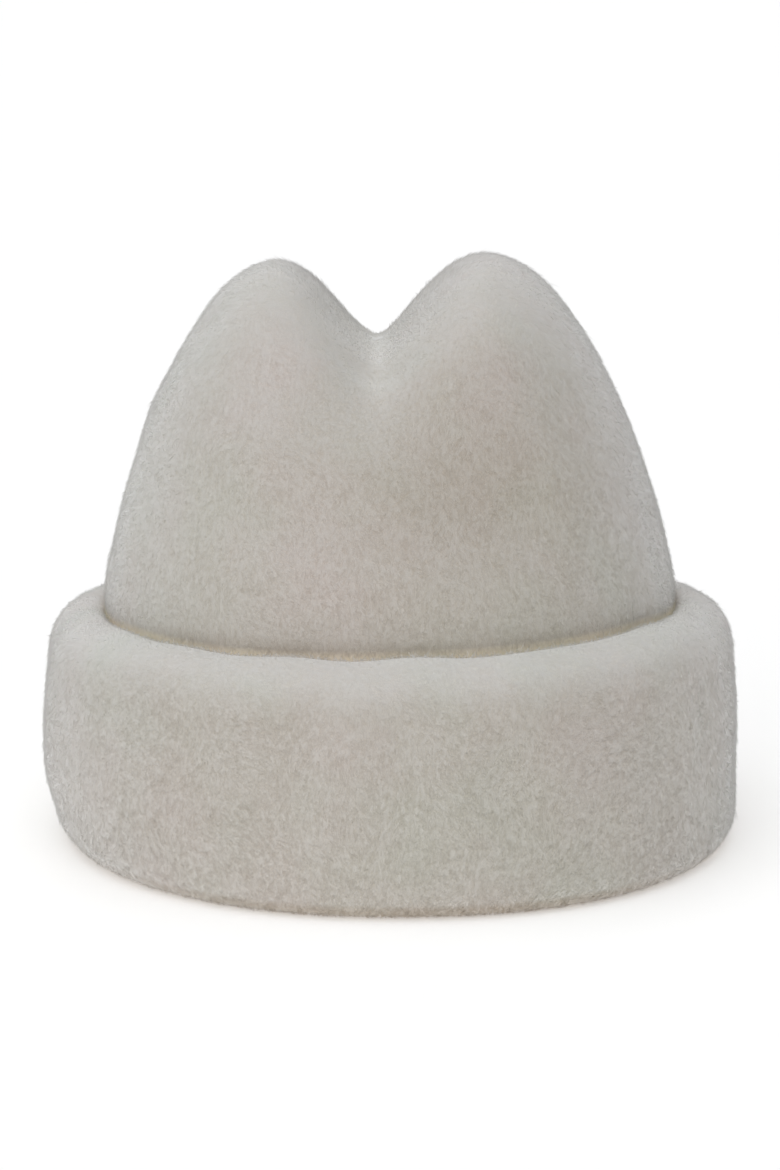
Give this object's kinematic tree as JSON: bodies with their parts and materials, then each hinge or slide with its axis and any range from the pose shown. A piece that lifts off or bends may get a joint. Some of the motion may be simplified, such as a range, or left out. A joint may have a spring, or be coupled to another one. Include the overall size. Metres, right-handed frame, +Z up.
{
  "type": "felt hat",
  "caption": "Soft pile-felt hat: tall oval crown with a lengthwise crease and two rounded lobes, and a deep turned-up cuff with a rolled top.",
  "frame": {"origin": "middle of the bounding box's bottom, on the surface that the hat stands on", "axes": "+Z up through the crown, -Y towards the hat's front, +X to the right of someone looking at its front"},
  "size_m": [0.214, 0.256, 0.1751],
  "materials": {
    "felt": "ivory pile felt, soft and matt"
  },
  "bodies": {
    "root": {"felt_body": "felt"}
  },
  "joints": []
}
